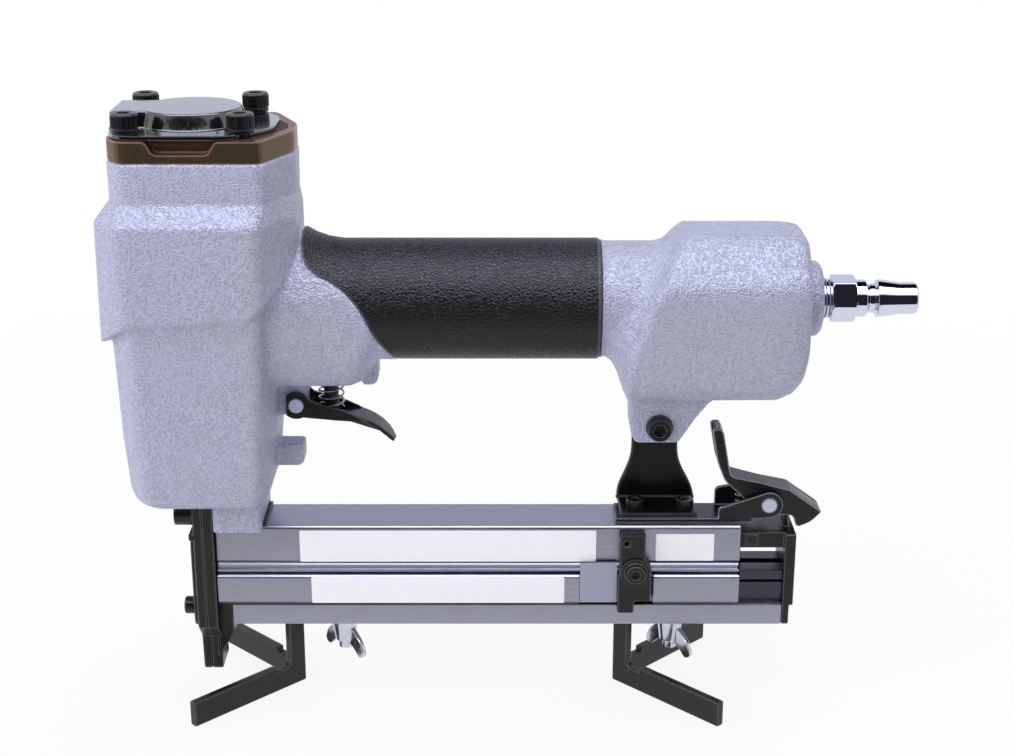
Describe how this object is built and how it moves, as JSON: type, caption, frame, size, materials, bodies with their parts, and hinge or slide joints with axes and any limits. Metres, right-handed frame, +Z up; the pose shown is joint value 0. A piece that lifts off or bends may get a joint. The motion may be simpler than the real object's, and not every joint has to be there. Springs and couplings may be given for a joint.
{
  "type": "pneumatic v-nailer",
  "caption": "Compressed-air bench nailer that drives V-shaped fasteners into picture-frame mitres, with pistol handle, trigger, sliding magazine, thumb latch and adjustable V guides.",
  "frame": {"origin": "under the middle of the whole tool's box, on the floor that the V guides stand on", "axes": "+X from the nose to the air plug, +Y to the far side of the tool, +Z up"},
  "size_m": [0.2684, 0.0686, 0.2085],
  "materials": {
    "casting": "hammered silver-grey enamel on cast aluminium",
    "grip_rubber": "leather-grained moulded rubber",
    "cap_paint": "brown enamel, satin",
    "gasket": "dark red gasket rubber",
    "cover_paint": "gloss black enamel on pressed steel",
    "black_steel": "black oxide",
    "sleeve_metal": "machined",
    "seal_rubber": "moulded nitrile",
    "bumper_rubber": "cast urethane",
    "blade_steel": "ground",
    "valve_plastic": "acetal",
    "valve_black": "acetal, black",
    "spring_steel": "drawn wire",
    "bright_pin": "ground, bright",
    "chrome_plug": "polished",
    "magazine_metal": "brushed along its length",
    "brass_pusher": "cast",
    "zinc": "zinc plated, bright"
  },
  "bodies": {
    "body": {"body_casting": "casting", "rubber_grip": "grip_rubber", "cylinder_cap": "cap_paint", "exhaust_gasket": "gasket", "exhaust_cover": "cover_paint", "cap_screws": "black_steel", "cap_lock_washers": "black_steel", "cylinder_sleeve": "sleeve_metal", "sleeve_o_rings": "seal_rubber", "piston_bumper": "bumper_rubber", "head_valve_spring": "spring_steel", "trigger_pin": "bright_pin", "trigger_spring": "spring_steel", "trigger_valve_body": "valve_black", "valve_o_rings": "seal_rubber", "air_plug": "chrome_plug", "nose_front_plate": "black_steel", "nose_rear_plate": "black_steel", "nose_screws": "black_steel", "nose_cover": "black_steel", "nose_cover_screw": "black_steel", "magazine_channel": "magazine_metal", "magazine_hanger": "black_steel", "support_strut": "black_steel", "strut_bolt": "black_steel", "strut_nut": "black_steel", "strut_screws": "black_steel", "latch_bracket": "black_steel", "latch_pin": "bright_pin", "latch_spring": "spring_steel", "stop_plate": "black_steel", "stop_screw": "black_steel"},
    "trigger": {"trigger": "black_steel"},
    "valve_stem": {"trigger_valve_stem": "valve_black"},
    "piston_group": {"piston": "sleeve_metal", "piston_o_ring": "seal_rubber", "driver_blade": "blade_steel"},
    "head_valve_group": {"head_valve": "valve_plastic", "head_valve_o_ring": "seal_rubber"},
    "latch": {"latch_lever": "black_steel"},
    "drawer": {"drawer_channel": "magazine_metal", "nail_rail": "blade_steel", "end_plate": "black_steel", "end_plate_screws": "black_steel", "pusher_rod": "spring_steel", "pusher_spring": "spring_steel"},
    "pusher": {"nail_pusher": "brass_pusher"},
    "front_guide_group": {"front_guide": "black_steel", "front_stud": "zinc", "front_washer": "zinc"},
    "rear_guide_group": {"rear_guide": "black_steel", "rear_stud": "zinc", "rear_washer": "zinc"},
    "front_nut": {"front_wing_nut": "zinc"},
    "rear_nut": {"rear_wing_nut": "zinc"}
  },
  "joints": [
    {"name": "trigger_pull", "type": "hinge", "parent": "body", "child": "trigger", "pos_m": [-0.0736, 0, 0.1066], "axis": [0, -1, 0], "range_deg": [0, 12], "stiffness_Nm_per_rad": 0.15, "springref_deg": -20.05, "deforming": ["trigger_spring"]},
    {"name": "valve_stem_slide", "type": "slide", "parent": "body", "child": "valve_stem", "axis": [0, 0, 1], "range_m": [0, 0.0025]},
    {"name": "piston_stroke", "type": "slide", "parent": "body", "child": "piston_group", "axis": [0, 0, -1], "range_m": [0, 0.055]},
    {"name": "head_valve_lift", "type": "slide", "parent": "body", "child": "head_valve_group", "axis": [0, 0, 1], "range_m": [0, 0.0032], "stiffness_N_per_m": 1500, "springref_m": -0.004, "deforming": ["head_valve_spring"]},
    {"name": "latch_swing", "type": "hinge", "parent": "body", "child": "latch", "pos_m": [0.0877, 0, 0.0706], "axis": [0, -1, 0], "range_deg": [0, 22], "stiffness_Nm_per_rad": 0.3, "springref_deg": -17.19, "deforming": ["latch_spring"]},
    {"name": "magazine_slide", "type": "slide", "parent": "body", "child": "drawer", "axis": [1, 0, 0], "range_m": [0, 0.12]},
    {"name": "pusher_feed", "type": "slide", "parent": "drawer", "child": "pusher", "axis": [1, 0, 0], "range_m": [0, 0.15], "stiffness_N_per_m": 40, "springref_m": -0.05, "deforming": ["pusher_spring"]},
    {"name": "front_guide_slide", "type": "slide", "parent": "drawer", "child": "front_guide_group", "axis": [1, 0, 0], "range_m": [-0.014, 0.04]},
    {"name": "rear_guide_slide", "type": "slide", "parent": "drawer", "child": "rear_guide_group", "axis": [1, 0, 0], "range_m": [-0.04, 0.02]},
    {"name": "front_nut_turn", "type": "hinge", "parent": "front_guide_group", "child": "front_nut", "pos_m": [-0.0599, 0, 0.02], "axis": [0, 0, 1], "continuous": true},
    {"name": "rear_nut_turn", "type": "hinge", "parent": "rear_guide_group", "child": "rear_nut", "pos_m": [0.0554, 0, 0.02], "axis": [0, 0, 1], "continuous": true}
  ],
  "couplings": [
    {"joint": "valve_stem_slide", "follows": "trigger_pull", "m_per_rad": 0.0115}
  ]
}
